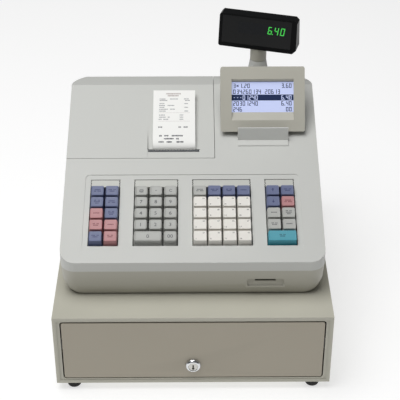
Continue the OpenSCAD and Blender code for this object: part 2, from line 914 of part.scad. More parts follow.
module tear_bar() color(metal) on_deck() {
    teeth = 34;
    tooth = (recess_x1 - recess_x0 - 2) / teeth;
    box([recess_x0 + 1, slot_s0 - 3.4, -1], [recess_x1 - 1, slot_s0 - 1.2, -0.5]);
    translate([recess_x0 + 1, slot_s0 - 1.2 - eps, -1]) linear_extrude(0.5) {
        for (i = [0:teeth - 1]) {
            polygon([[i * tooth, 0], [(i + 1) * tooth, 0], [(i + 0.5) * tooth, 1.6]]);
        }
    }
}

// A point on the curve that the paper follows, as (s, n)
function paper_at(t) =
    let (a = [183.4, -6], b = [183.6, 7.5], c = [205, 5], d = [278, 9.5])
    pow(1 - t, 3) * a + 3 * pow(1 - t, 2) * t * b + 3 * (1 - t) * pow(t, 2) * c + pow(t, 3) * d;

module receipt_paper() color("#fbfbf9") on_deck() {
    steps = 24;
    along_x(paper_x - paper_w / 2, paper_x + paper_w / 2) polygon(concat(
        [for (i = [0:steps]) paper_at(i / steps) + [0, paper_t / 2]],
        [for (i = [steps:-1:0]) paper_at(i / steps) - [0, paper_t / 2]]
    ));
}

// ---------- operator display ----------

// Turns a shape into the display's own frame: Y up its face, Z out towards the operator
module on_lcd() {
    translate([lcd_x, lcd_foot_y, lcd_foot_z]) rotate([90 - lcd_lean, 0, 0]) children();
}

// The display body between two depths, as a filled block drawn in by t
module lcd_block(w0, w1, t) {
    intersection() {
        translate([0, 0, w0]) linear_extrude(w1 - w0)
            round_rect([-lcd_w / 2 + t, t], [lcd_w / 2 - t, lcd_h - t], 3);
        along_x(-lcd_w, lcd_w) polygon([
            [t, 1], [t, -t * 0.8], [lcd_under + t * 1.6, -lcd_t], [lcd_h + 1, -lcd_t], [lcd_h + 1, 1]
        ]);
    }
}

// Height of the sloping deck at y
function deck_at(y) = deck_z0 + (y - con_y0) * tan(deck_slope);

module display_bracket() color(moulding) {
    half = bracket_w / 2;
    foot_y = lcd_foot_y - 15.8;
    back_y = tilt_y + 14;
    plate_top = cab_top + 143;
    difference() {
        union() {
            translate([lcd_x, 0, 0]) along_x(-half, half) polygon([
                [foot_y, deck_at(foot_y)],
                [foot_y + 0.8, deck_at(foot_y) + 1.8],
                [foot_y + 7.8, deck_at(foot_y + 7.8) + 2.6],
                [foot_y + 9.8, plate_top],
                [foot_y + 11.8, plate_top],
                [foot_y + 10.2, deck_at(foot_y + 10.2) + 2.2],
                [foot_y + 16, deck_at(foot_y + 16) + 0.6],
                [back_y, deck_at(back_y) + 0.6],
                [back_y, deck_at(back_y)]
            ]);
            for (x = bracket_ears) {
                translate([lcd_x + x, tilt_y, tilt_z]) rod_x(-ear_w / 2, ear_w / 2, knuckle_r);
                translate([lcd_x + x, 0, 0]) along_x(-ear_w / 2, ear_w / 2) polygon([
                    [tilt_y - knuckle_r, tilt_z], [tilt_y + knuckle_r, tilt_z],
                    [tilt_y + knuckle_r + 2, deck_at(tilt_y + knuckle_r + 2) + 0.2],
                    [tilt_y - knuckle_r - 2, deck_at(tilt_y - knuckle_r - 2) + 0.2]
                ]);
            }
        }
        translate([lcd_x, tilt_y, tilt_z]) rod_x(-half - 1, half + 1, pin_r);
    }
}

module lcd_bezel() color(base_moulding) {
    gap = ear_w / 2 + 0.6;
    difference() {
        union() {
            on_lcd() difference() {
                lcd_block(lcd_seam, 0, 0);
                lcd_block(lcd_seam - 1, -wall_t, wall_t);
            }
            translate([lcd_x, tilt_y, tilt_z]) {
                rod_x(bracket_ears[0] + gap, bracket_ears[1] - gap, knuckle_r);
                rod_x(bracket_ears[1] + gap, bracket_ears[2] - gap, knuckle_r);
            }
        }
        on_lcd() along_x(-screen_w / 2, screen_w / 2) polygon([
            [screen_u0 - 11, 1], [screen_u0 - 11, 0], [screen_u0, -screen_deep], [screen_u0, -6],
            [screen_u1, -6], [screen_u1, -screen_deep], [screen_u1 + 4.8, 0], [screen_u1 + 4.8, 1]
        ]);
        translate([lcd_x, tilt_y, tilt_z]) {
            rod_x(-lcd_w / 2 + 4, lcd_w / 2 - 4, pin_r + run_fit);
            for (x = bracket_ears) {
                rod_x(x - gap, x + gap, knuckle_r + 0.5);
            }
        }
    }
}

module lcd_back() color(base_moulding) on_lcd() difference() {
    lcd_block(-lcd_t, lcd_seam, 0);
    lcd_block(-lcd_t + wall_t, lcd_seam + 1, wall_t);
}

module lcd_screen() color("#cfd6ee") on_lcd() {
    rim = 1.5;
    box([-screen_w / 2 - rim, screen_u0 - rim, -screen_deep - 2.4],
        [screen_w / 2 + rim, screen_u1 + rim, -screen_deep - 0.1]);
}

// ---------- customer display ----------

module on_head() {
    translate([pole_x, pole_y, head_z]) rotate([0, 0, head_turn]) children();
}

module display_neck() color(moulding) {
    translate([pole_x, pole_y, 0]) {
        translate([0, 0, collar_top + 0.4]) cylinder(h = head_z - collar_top - 0.4 + 1.8, r = neck_r);
        translate([0, 0, collar_top - 26]) cylinder(h = 27, r = spigot_r);
    }
}

// Side outline of the customer display, drawn in by t
module head_side(t) {
    lean = head_h * tan(head_lean);
    front = -head_d / 2;
    polygon([
        [front + t, t], [front + lean * (head_h - t) / head_h + t, head_h - t],
        [front + lean + 15 - t, head_h - t], [-front - t, 5], [-front - t - 3, t]
    ]);
}

// Front outline of the customer display, drawn in by t
module head_face(t) {
    half = head_w / 2 - t;
    cut = 5;
    polygon([
        [-half + 2, t], [half - cut, t], [half, cut + t], [half - 1, head_h - t - 4],
        [half - 5, head_h - t], [-half + 3, head_h - t], [-half, head_h - t - 3], [-half, t + 2]
    ]);
}

module head_block(t) {
    intersection() {
        along_x(-head_w, head_w) head_side(t);
        along_y(-head_d, head_d) head_face(t);
    }
}

module head_case() color(black_gloss) on_head() difference() {
    head_block(0);
    difference() {
        head_block(2);
        cylinder(h = 6, r = neck_r + 2);
    }
    window_cut(0);
    translate([0, 0, -1]) cylinder(h = 2.8, r = neck_r);
}

// Room for the window in the face, drawn in by t
module window_cut(t) {
    rotate([-head_lean, 0, 0]) {
        box([-head_w / 2 + 4 + t, -head_d / 2 - 4, 3 + t],
            [head_w / 2 - 8 - t, -head_d / 2 + 2, head_h - 4 - t]);
    }
}

module head_window() color("#0e1012") on_head() intersection() {
    window_cut(0.1);
    difference() {
        head_block(0.4);
        translate([0, 1.6, 0]) head_block(0.4);
    }
}

module head_module() color("#1c2420") on_head() {
    rotate([-head_lean, 0, 0]) {
        box([-42, -head_d / 2 + 3.4, 12], [42, -head_d / 2 + 8, 36]);
    }
}

// ---------- assembly ----------

cabinet_shell();
cabinet_rails();
rubber_feet();
drawer_front();
drawer_tray();
drawer_runners();
till_insert();
bill_clips();
clip_rod();
lock_bezel();
lock_cylinder();
lock_cam();
case_base();
case_top();
case_screws();
bank_labels();
key_frame();
key_board();
transformer();
card_slot();
cord_gland();
printer_frame();
platen_roller();
paper_roll();
printer_cover();
hinge_pins();
tear_bar();
receipt_paper();
display_bracket();
display_collar();
lcd_bezel();
lcd_back();
lcd_screen();
display_neck();
head_case();
head_window();
head_module();
keys_left_a();
keys_left_b();
key_at();
key_point();
key_clear();
key_7();
key_8();
key_9();
key_4();
key_5();
key_6();
key_1();
key_2();
key_3();
key_0();
key_00();
keys_sale_a();
keys_sale_b();
keys_sale_c();
keys_sale_d();
keys_right_a();
keys_right_b();
key_total();
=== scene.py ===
"""An electronic cash register: surfaces, key caps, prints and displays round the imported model."""

import json
import math

import bmesh
import bpy
from mathutils import Matrix, Vector
from mathutils.bvhtree import BVHTree


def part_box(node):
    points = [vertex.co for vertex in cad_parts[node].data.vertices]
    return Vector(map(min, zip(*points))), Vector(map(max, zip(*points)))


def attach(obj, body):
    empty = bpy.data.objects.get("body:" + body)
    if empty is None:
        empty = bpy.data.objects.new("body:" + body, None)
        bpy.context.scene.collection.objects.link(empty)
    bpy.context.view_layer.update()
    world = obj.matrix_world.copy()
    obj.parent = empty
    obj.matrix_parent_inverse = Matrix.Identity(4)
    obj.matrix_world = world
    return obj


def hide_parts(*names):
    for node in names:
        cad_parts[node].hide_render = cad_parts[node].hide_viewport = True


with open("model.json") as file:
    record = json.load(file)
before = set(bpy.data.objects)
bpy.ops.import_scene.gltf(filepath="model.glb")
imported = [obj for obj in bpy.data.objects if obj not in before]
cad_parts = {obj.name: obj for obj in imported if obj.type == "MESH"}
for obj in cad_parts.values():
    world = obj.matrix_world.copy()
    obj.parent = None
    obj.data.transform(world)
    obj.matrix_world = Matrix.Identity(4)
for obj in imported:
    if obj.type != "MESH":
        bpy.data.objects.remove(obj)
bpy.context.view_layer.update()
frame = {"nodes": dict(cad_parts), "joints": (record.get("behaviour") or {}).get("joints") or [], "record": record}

MM = 0.001
NODES = frame["nodes"]
RECORD = frame["record"]
BODY = {n: body for body, names in RECORD["behaviour"]["bodies"].items() for n in names}
SLOT = {part["node"]: part["material_slot"] for part in RECORD["subparts"]}
JOINT = {joint["name"]: joint for joint in frame["joints"]}

# ---------- camera and light -----------------

LENS_MM = 108.0
SENSOR_MM = 36
CAMERA_AT = (0.0, -1.3773, 1.0773)
CAMERA_DOWN = 33.7
CAMERA_ROLL = 0.43
ROOM_LIGHT = 0.12


def lens_and_light():
    """The camera, a large softbox overhead, a weak one in front, and a dim white world."""
    scene = bpy.context.scene
    camera = bpy.data.objects.new("camera", bpy.data.cameras.new("camera"))
    camera.location = CAMERA_AT
    camera.rotation_euler = (math.radians(90 - CAMERA_DOWN), 0, math.radians(-CAMERA_ROLL))
    camera.data.lens = LENS_MM
    camera.data.sensor_width = SENSOR_MM
    scene.collection.objects.link(camera)
    scene.camera = camera
    scene.view_settings.view_transform = "Standard"
    softboxes = {
        # name: (place, point it faces, width, length, watts)
        "softbox_top": ((-0.45, -0.3, 2.2), (0, 0, 0.1), 1.7, 1.7, 43),
        "softbox_front": ((-1.1, -2.3, 1.5), (0, 0, 0.12), 1.0, 1.0, 1.2),
    }
    for name, (place, target, width, length, watts) in softboxes.items():
        light = bpy.data.lights.new(name, "AREA")
        light.shape = "RECTANGLE"
        light.size = width
        light.size_y = length
        light.energy = watts
        box = bpy.data.objects.new(name, light)
        box.location = place
        box.rotation_euler = (Vector(target) - Vector(place)).to_track_quat("-Z", "Y").to_euler()
        scene.collection.objects.link(box)
    world = bpy.data.worlds.new("studio")
    world.use_nodes = True
    air = world.node_tree.nodes["Background"].inputs
    air["Color"].default_value = (1, 1, 1, 1)
    air["Strength"].default_value = ROOM_LIGHT
    scene.world = world


lens_and_light()

# ---------- materials ----------


def linear(hex_colour, share=1.0):
    """An sRGB hex colour as linear red, green, blue and alpha, times a share."""
    parts = [int(hex_colour[i : i + 2], 16) / 255 for i in (1, 3, 5)]
    parts = [p / 12.92 if p <= 0.04045 else ((p + 0.055) / 1.055) ** 2.4 for p in parts]
    return tuple(share * p for p in parts) + (1.0,)


def add(tree, kind, settings=None, links=None):
    """Adds a shader node; lower-case settings are its properties, the others its sockets."""
    made = tree.nodes.new(kind)
    for key, value in (settings or {}).items():
        if isinstance(key, str) and key[0].islower():
            setattr(made, key, value)
        else:
            made.inputs[key].default_value = value
    for key, source in (links or {}).items():
        tree.links.new(source, made.inputs[key])
    return made


# places of a colour Mix node's sockets, whose names it uses more than once
MIX_FACTOR, MIX_A, MIX_B, MIXED = 0, 6, 7, 2
WORN_SHARE = 1.6  # how much lighter than its colour a fully worn edge is
WORN_FROM, WORN_TO = 0.5, 0.62  # pointiness at which wear starts and is complete


def finish(
    name,
    colour,
    rough=(0.4, 0.5),
    mottle=0.04,
    patch_mm=45.0,
    grain_mm=0.8,
    relief_mm=0.012,
    stretch=(1, 1, 1),
    fleck=0.0,
    cells=False,
    worn=0.0,
    **shader,
):
    """A surface from its real causes: patches tint it and vary its gloss, grain gives it relief, edges wear.

    mottle is how far the patches lighten or darken the colour, fleck how far each grain does, worn how far
    its rounded edges lighten. stretch draws the grain out, as brushing does. cells makes the grain crystals.
    """
    material = bpy.data.materials.new(name)
    material.use_nodes = True
    material.diffuse_color = linear(colour)
    tree = material.node_tree
    skin = tree.nodes["Principled BSDF"]
    for key, value in shader.items():
        skin.inputs[key.replace("_", " ").title().replace("Ior", "IOR")].default_value = value
    place = add(tree, "ShaderNodeTexCoord").outputs["Object"]
    drawn = add(tree, "ShaderNodeMapping", {"Scale": stretch}, {"Vector": place}).outputs["Vector"]
    patches = add(
        tree,
        "ShaderNodeTexNoise",
        {"Scale": 1000 / patch_mm, "Detail": 3.0, "Roughness": 0.55},
        {"Vector": place},
    ).outputs["Fac"]
    if cells:
        grain = add(
            tree, "ShaderNodeTexVoronoi", {"Scale": 1000 / grain_mm, "Randomness": 1.0}, {"Vector": drawn}
        )
        height, tint = grain.outputs["Distance"], grain.outputs["Color"]
    else:
        grain = add(
            tree,
            "ShaderNodeTexNoise",
            {"Scale": 1000 / grain_mm, "Detail": 2.5, "Roughness": 0.6},
            {"Vector": drawn},
        )
        height = tint = grain.outputs["Fac"]
    shade = add(
        tree,
        "ShaderNodeMix",
        {"data_type": "RGBA", MIX_A: linear(colour, 1 - mottle), MIX_B: linear(colour, 1 + mottle)},
        {MIX_FACTOR: patches},
    ).outputs[MIXED]
    if fleck:
        value = add(
            tree, "ShaderNodeMapRange", {"To Min": 1 - fleck, "To Max": 1 + fleck}, {"Value": tint}
        ).outputs["Result"]
        shade = add(
            tree,
            "ShaderNodeMix",
            {"data_type": "RGBA", "blend_type": "MULTIPLY", MIX_FACTOR: 1.0},
            {MIX_A: shade, MIX_B: value},
        ).outputs[MIXED]
    if worn:
        pointed = add(tree, "ShaderNodeNewGeometry").outputs["Pointiness"]
        edge = add(
            tree,
            "ShaderNodeMapRange",
            {"From Min": WORN_FROM, "From Max": WORN_TO, "To Min": 0.0, "To Max": worn},
            {"Value": pointed},
        ).outputs["Result"]
        shade = add(
            tree,
            "ShaderNodeMix",
            {"data_type": "RGBA", MIX_B: linear(colour, WORN_SHARE)},
            {MIX_FACTOR: edge, MIX_A: shade},
        ).outputs[MIXED]
    tree.links.new(shade, skin.inputs["Base Color"])
    gloss = add(
        tree,
        "ShaderNodeMapRange",
        {"From Min": 0.3, "From Max": 0.7, "To Min": rough[0], "To Max": rough[1]},
        {"Value": patches},
    ).outputs["Result"]
    tree.links.new(gloss, skin.inputs["Roughness"])
    bump = add(tree, "ShaderNodeBump", {"Strength": 0.6, "Distance": relief_mm * MM}, {"Height": height})
    tree.links.new(bump.outputs["Normal"], skin.inputs["Normal"])
    return material


# Grain and patch sizes are those of the real surfaces in millimetres.
FINISHES = {
    # sheet steel with a fine textured powder coat: the orange peel breaks up its highlights
    "powder_coated_steel": dict(
        colour="#b3b1a4", rough=(0.42, 0.55), grain_mm=1.6, relief_mm=0.05, worn=0.25, mottle=0.025,
    ),
    # the same coat on the drawer front, darkened to a taupe as painted shade for its front face
    "drawer_coat_painted_shade": dict(
        colour="#a39c8d", rough=(0.45, 0.58), grain_mm=1.6, relief_mm=0.05, worn=0.22, mottle=0.02,
    ),
    # zinc plated sheet: large faint crystals, dull silver
    "zinc_plated_steel": dict(
        colour="#b4b6b8", rough=(0.32, 0.5), grain_mm=9, cells=True, fleck=0.12, relief_mm=0.01, metallic=1.0
    ),
    # moulded ABS with a spark-eroded skin: matt, with a soft sheen on its rounded edges
    "moulded_abs_pale": dict(
        colour="#c5c6c2", rough=(0.4, 0.5), grain_mm=0.7, relief_mm=0.02, fleck=0.02, mottle=0.02,
    ),
    "moulded_abs_warm": dict(
        colour="#b4b2a7", rough=(0.42, 0.54), grain_mm=0.7, relief_mm=0.02, fleck=0.02, mottle=0.02,
    ),
    # soft black rubber: matt, a little dusty
    "moulded_rubber": dict(
        colour="#1c1c1b", rough=(0.7, 0.85), grain_mm=0.9, relief_mm=0.03, fleck=0.1, mottle=0.15,
    ),
    # black polystyrene tray: coarse leather grain, half matt
    "moulded_polystyrene": dict(
        colour="#2b2b2c", rough=(0.38, 0.5), grain_mm=1.4, cells=True, relief_mm=0.06, mottle=0.08,
    ),
    # glass filled nylon clips: grey, half matt, faintly cloudy
    "nylon_grey": dict(colour="#77797a", rough=(0.35, 0.48), grain_mm=1.0, relief_mm=0.02, mottle=0.05),
    # polished chrome over a turned brass lock: mirror with faint wipe marks
    "chrome_plate": dict(
        colour="#d9dbdd", rough=(0.06, 0.16), grain_mm=2.5, relief_mm=0.002, mottle=0.02, metallic=1.0,
    ),
    # nickel plate on the lock's plug: a softer, warmer mirror than the chrome round it
    "nickel_plate": dict(
        colour="#c4c3bd", rough=(0.18, 0.3), grain_mm=0.6, relief_mm=0.006, mottle=0.04, metallic=1.0,
    ),
    # polycarbonate label strip: smooth and a little glossier than the case
    "polycarbonate_label": dict(
        colour="#bfc0ba", rough=(0.3, 0.4), grain_mm=3, relief_mm=0.004, mottle=0.015,
    ),
    # the blank rating plate: silvered polyester film
    "polyester_plate": dict(
        colour="#b4b6b8", rough=(0.3, 0.42), grain_mm=2, relief_mm=0.002, mottle=0.03,
    ),
    # black nylon frames and bushings: dark, with a low sheen
    "black_nylon": dict(colour="#26282a", rough=(0.4, 0.55), grain_mm=0.8, relief_mm=0.02, mottle=0.08),
    # thermal paper: bright, smooth on its coated face, short fibres just visible
    "thermal_paper": dict(
        colour="#f1f1ee", rough=(0.5, 0.62), grain_mm=0.5, stretch=(1, 3, 3),
        fleck=0.015, relief_mm=0.008, mottle=0.01,
    ),
    # blackened blade steel, brushed along the blade: a dark line with a dull glint
    "blackened_steel": dict(
        colour="#4a4c4e", rough=(0.4, 0.55), grain_mm=0.4, stretch=(0.05, 1, 1),
        fleck=0.12, relief_mm=0.006, metallic=1.0,
    ),
    # silicon steel laminations, stacked and varnished: brown grey, finely striped
    "laminated_core": dict(
        colour="#6d6a66", rough=(0.4, 0.6), grain_mm=0.7, stretch=(0.02, 0.02, 1),
        fleck=0.25, relief_mm=0.05, metallic=0.7,
    ),
    # solder mask over copper: green and glossy, patchy where copper lies beneath
    "circuit_board": dict(
        colour="#2c6a45", rough=(0.25, 0.4), grain_mm=2.5, cells=True, fleck=0.2, relief_mm=0.02,
    ),
    # acrylic shells of the customer display, polished black
    "black_acrylic": dict(
        colour="#0d0e0f", rough=(0.3, 0.4), grain_mm=2, relief_mm=0.003, mottle=0.1, specular_ior_level=0.1
    ),
    # its window: the same black, with a sharper gloss
    "smoked_acrylic": dict(
        colour="#0a0b0c", rough=(0.12, 0.2), grain_mm=4, relief_mm=0.001, mottle=0.1, specular_ior_level=0.3
    ),
    # tinted film over the window: a shade lighter than the acrylic, so the digits' field shows
    "display_filter": dict(
        colour="#121417", rough=(0.2, 0.3), grain_mm=4, relief_mm=0.001, mottle=0.1, specular_ior_level=0.25
    ),
    # backlit liquid crystal: an even pale lavender that glows a little
    "liquid_crystal": dict(
        colour="#b9c2e4", rough=(0.18, 0.24), grain_mm=0.5, relief_mm=0.001, mottle=0.015,
        emission_strength=0.34, emission_color=linear("#c3cdf2"),
    ),
    # its driven cells: dark navy, no glow
    "crystal_dark": dict(
        colour="#1a2c55", rough=(0.3, 0.36), grain_mm=0.5, relief_mm=0.001, mottle=0.04,
    ),
    # its clear cells in the dark row: the screen's own pale lavender
    "crystal_light": dict(
        colour="#b9c2e4", rough=(0.3, 0.36), grain_mm=0.5, relief_mm=0.001, mottle=0.02,
        emission_strength=0.3, emission_color=linear("#c3cdf2"),
    ),
    # vacuum fluorescent digits: phosphor green, glowing through the dark window
    "phosphor_digit": dict(
        colour="#2f8f3c", rough=(0.4, 0.5), grain_mm=0.6, relief_mm=0.001, mottle=0.05,
        emission_strength=0.75, emission_color=linear("#43d04b"),
    ),
    # key caps: two-shot ABS, satin, each colour dyed through
    "keycap_pink": dict(
        colour="#b37d7f", rough=(0.34, 0.44), grain_mm=0.6, relief_mm=0.012, fleck=0.02, mottle=0.02,
    ),
    "keycap_blue": dict(
        colour="#5e6789", rough=(0.34, 0.44), grain_mm=0.6, relief_mm=0.012, fleck=0.02, mottle=0.02,
    ),
    "keycap_cyan": dict(
        colour="#4297a8", rough=(0.34, 0.44), grain_mm=0.6, relief_mm=0.012, fleck=0.02, mottle=0.02,
    ),
    "keycap_grey": dict(
        colour="#acada9", rough=(0.34, 0.44), grain_mm=0.6, relief_mm=0.012, fleck=0.02, mottle=0.02,
    ),
    "keycap_white": dict(
        colour="#e3e0d9", rough=(0.34, 0.44), grain_mm=0.6, relief_mm=0.012, fleck=0.02, mottle=0.02,
    ),
    # pad-printed signs: thin matt ink, darker than the cap it lies on
    "ink_grey": dict(colour="#55575a", rough=(0.5, 0.6), grain_mm=0.5, relief_mm=0.002),
    "ink_dark": dict(colour="#3c3f47", rough=(0.5, 0.6), grain_mm=0.5, relief_mm=0.002),
    "ink_navy": dict(colour="#262f60", rough=(0.5, 0.6), grain_mm=0.5, relief_mm=0.002),
    "ink_red": dict(colour="#6d2f38", rough=(0.5, 0.6), grain_mm=0.5, relief_mm=0.002),
    "ink_teal": dict(colour="#11505d", rough=(0.5, 0.6), grain_mm=0.5, relief_mm=0.002),
    # heat-darkened thermal coating: grey, uneven from dot to dot
    "thermal_print_pale": dict(
        colour="#b3a7a5", rough=(0.6, 0.7), grain_mm=0.4, relief_mm=0.001, fleck=0.15,
    ),
    "thermal_print_light": dict(
        colour="#8a8b90", rough=(0.6, 0.7), grain_mm=0.4, relief_mm=0.001, fleck=0.2,
    ),
    "thermal_print_heavy": dict(
        colour="#55565c", rough=(0.6, 0.7), grain_mm=0.4, relief_mm=0.001, fleck=0.2,
    ),
    # painted shade: near black with no gloss, laid where a gap is too deep for light to reach
    "painted_gap_shade": dict(colour="#2a2b2c", rough=(0.6, 0.7), grain_mm=0.8, relief_mm=0.01),
    # a lit table of matt opal acrylic under the register: it glows, so the shadows on it are faint
    "opal_floor": dict(
        colour="#b4b4b4", rough=(0.85, 0.95), grain_mm=2, relief_mm=0.01, mottle=0.003, patch_mm=400,
        emission_strength=0.62, emission_color=linear("#ffffff"),
    ),
}
FINISH = {name: finish(name, **settings) for name, settings in FINISHES.items()}

SLOT_FINISH = {
    "cabinet_paint": "powder_coated_steel",
    "drawer_paint": "drawer_coat_painted_shade",
    "zinc_steel": "zinc_plated_steel",
    "black_rubber": "moulded_rubber",
    "till_plastic": "moulded_polystyrene",
    "clip_plastic": "nylon_grey",
    "lock_chrome": "chrome_plate",
    "lock_steel": "nickel_plate",
    "case_pale": "moulded_abs_pale",
    "case_warm": "moulded_abs_warm",
    "label_plastic": "polycarbonate_label",
    "frame_plastic": "black_nylon",
    "circuit_board": "circuit_board",
    "core_steel": "laminated_core",
    "black_plastic": "black_nylon",
    "thermal_paper": "thermal_paper",
    "blade_steel": "blackened_steel",
    "screen_glass": "liquid_crystal",
    "black_gloss": "black_acrylic",
    "window_tint": "smoked_acrylic",
    "key_pink": "keycap_pink",
    "key_blue": "keycap_blue",
    "key_cyan": "keycap_cyan",
    "key_grey": "keycap_grey",
    "key_white": "keycap_white",
}

# ---------- building blocks ----------


def piece(name, bm, finish_name, body, nodes=(), smooth=30.0, evened=True):
    """Turns a bmesh into a finished piece that rides on a body."""
    mesh = bpy.data.meshes.new(name)
    bm.normal_update()
    bm.to_mesh(mesh)
    bm.free()
    mesh.materials.append(FINISH[finish_name])
    mesh.shade_smooth()
    mesh.set_sharp_from_angle(angle=math.radians(smooth))
    made = bpy.data.objects.new(name, mesh)
    bpy.context.scene.collection.objects.link(made)
    if evened:
        made.modifiers.new("even_shading", "WEIGHTED_NORMAL").keep_sharp = True
    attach(made, body)
    if nodes:
        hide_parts(*nodes)
    return made


def merged(node):
    """A CAD node's mesh with its loose triangles joined up and its flat faces whole."""
    bm = bmesh.new()
    bm.from_mesh(NODES[node].data)
    bmesh.ops.remove_doubles(bm, verts=bm.verts, dist=0.01 * MM)
    bmesh.ops.dissolve_limit(
        bm, angle_limit=math.radians(0.4), use_dissolve_boundaries=False, verts=bm.verts, edges=bm.edges
    )
    return bm


def round_edges(bm, edges, radius_mm, steps):
    """Bevels edges to a round of a radius."""
    bmesh.ops.bevel(
        bm,
        geom=edges,
        offset=radius_mm * MM,
        offset_type="OFFSET",
        segments=steps,
        profile=0.5,
        affect="EDGES",
        clamp_overlap=True,
        material=-1,
    )


SHORTEST_EDGE = 1.6  # an edge shorter than this many radii keeps its corner


def soften(bm, radius_mm, steps, sharp):
    """Rounds a mesh's sharp edges that are long enough to take the radius."""
    edges = [
        e
        for e in bm.edges
        if len(e.link_faces) == 2
        and e.calc_face_angle(0) > math.radians(sharp)
        and e.calc_length() > SHORTEST_EDGE * radius_mm * MM
    ]
    round_edges(bm, edges, radius_mm, steps)
    return bm


def face_frame(node, towards):
    """A frame on a node's largest flat face that looks a given way: X level, Y up the face, Z out."""
    bm = merged(node)
    face = max((f for f in bm.faces if f.normal.dot(Vector(towards)) > 0.6), key=lambda f: f.calc_area())
    out, centre = face.normal.copy(), face.calc_center_bounds()
    bm.free()
    return level_frame(centre, out)


def level_frame(centre, out):
    """A frame at a point with X level and Z along out."""
    level = Vector((0, 0, 1)).cross(out).normalized()
    up = out.cross(level)
    return Matrix.Translation(centre) @ Matrix((level, up, out)).transposed().to_4x4()


def islands(node, place):
    """The boxes of a node's separate solids in a frame, as (low, high), farthest up the frame first."""
    bm = merged(node)
    back = place.inverted()
    left = set(bm.verts)
    boxes = []
    while left:
        grown, edge = set(), [left.pop()]
        while edge:
            vert = edge.pop()
            grown.add(vert)
            for e in vert.link_edges:
                other = e.other_vert(vert)
                if other in left:
                    left.remove(other)
                    edge.append(other)
        points = [back @ v.co for v in grown]
        low = Vector([min(p[i] for p in points) for i in range(3)])
        high = Vector([max(p[i] for p in points) for i in range(3)])
        boxes.append((low, high))
    bm.free()
    return sorted(boxes, key=lambda b: (-round(b[0].y, 4), b[0].x))


def block(bm, low, high, place=Matrix.Identity(4), round_mm=0.0):
    """Adds a box between two corners of a frame, its edges rounded, and returns its points."""
    size = Vector(high) - Vector(low)
    middle = (Vector(high) + Vector(low)) / 2
    made = bmesh.ops.create_cube(
        bm, size=1, matrix=place @ Matrix.Translation(middle) @ Matrix.Diagonal((*size, 1))
    )["verts"]
    if round_mm:
        round_edges(bm, list({e for v in made for e in v.link_edges}), round_mm, 2)
    return made


DIGIT_SHARE = 0.73  # a digit's height as a share of the font's size
INK_MM = 0.03  # thickness of a print, and of a display's stroke
INK_HALF = INK_MM / 2 * MM


def lettering(bm, text, height_mm, place, heavy_mm):
    """Adds numbers or signs, flat on a frame and centred on its origin; heavy_mm thickens the strokes."""
    curve = bpy.data.curves.new("lettering", "FONT")
    curve.body = text
    curve.size = height_mm * MM / DIGIT_SHARE
    curve.align_x = "CENTER"
    curve.extrude = INK_HALF
    curve.offset = heavy_mm * MM
    curve.resolution_u = 3
    made = bpy.data.objects.new("lettering", curve)
    mesh = bpy.data.meshes.new_from_object(made)
    mesh.transform(place @ Matrix.Translation((0, -height_mm * MM / 2, 0)))
    bm.from_mesh(mesh)
    bpy.data.objects.remove(made)
    bpy.data.curves.remove(curve)
    bpy.data.meshes.remove(mesh)


def bar(bm, width_mm, height_mm, place, thick_mm=INK_MM):
    """Adds a plain bar that stands for a printed sign, centred on a frame's origin."""
    corner = Vector((width_mm, height_mm, thick_mm)) * (MM / 2)
    block(bm, -corner, corner, place)


# ---------- carried-over nodes with their edges rounded ----------

# node: (edge radius in millimetres, steps, least angle of an edge that is rounded)
EDGES = {
    "cabinet_shell": (0.9, 3, 28),
    "drawer_front": (0.9, 3, 28),
    "drawer_tray": (0.4, 2, 28),
    "drawer_runners": (0.4, 2, 28),
    "cabinet_rails": (0.4, 2, 28),
    "till_insert": (0.7, 2, 28),
    "bill_clips": (0.5, 2, 28),
    "lock_cylinder": (0.25, 2, 28),
    "case_base": (0.7, 3, 40),
    "case_top": (0.6, 3, 28),
    "bank_labels": (0.25, 2, 28),
    "cord_gland": (0.4, 2, 28),
    "printer_frame": (0.5, 2, 28),
    "printer_cover": (0.45, 3, 28),
    "display_bracket": (0.5, 2, 28),
    "display_collar": (0.5, 2, 40),
    "lcd_bezel": (0.8, 3, 28),
    "lcd_back": (1.4, 4, 28),
    "display_neck": (0.3, 2, 28),
    "head_case": (1.1, 4, 28),
    "head_window": (0.3, 2, 28),
    "paper_roll": (0.3, 2, 28),
    "rubber_feet": (0.3, 2, 40),
    "transformer": (0.6, 2, 28),
}


def carried_over():
    """Rounds the edges of the shells and frames, and gives every node its finish."""
    for node, solid in NODES.items():
        slot = SLOT[node]
        if node in EDGES:
            skin = soften(merged(node), *EDGES[node])
            piece(node + "_skin", skin, SLOT_FINISH[slot], BODY[node], [node])
        else:
            solid.data.materials.clear()
            solid.data.materials.append(FINISH[SLOT_FINISH[slot]])


carried_over()

# ---------- keys ----------

PRESS = Vector(JOINT["press_key_5"]["axis"])
DECK = level_frame(face_frame("bank_labels", -PRESS).translation, -PRESS.normalized())

CAP_FLANK_MM = {"side": 1.0, "front": 1.8, "back": 0.4}  # how far each flank leans in
CAP_HEIGHT_MM = 10.0
STEM_HALF_MM = 2.5
DISH_SHARES = (0.45, 0.4, 0.15)  # share of the dish's slope and depth in each ring
# corner radius, rim radius, width of the dish's slope and its depth
FLAT_CAP_MM = (1.7, 0.6, 0.9, 0.2)
ROUND_CAP_MM = (2.8, 0.9, 1.6, 0.55)
PRINT_UP_MM = 0.7  # the print sits above a cap's middle, where the leaning front flank leaves its top


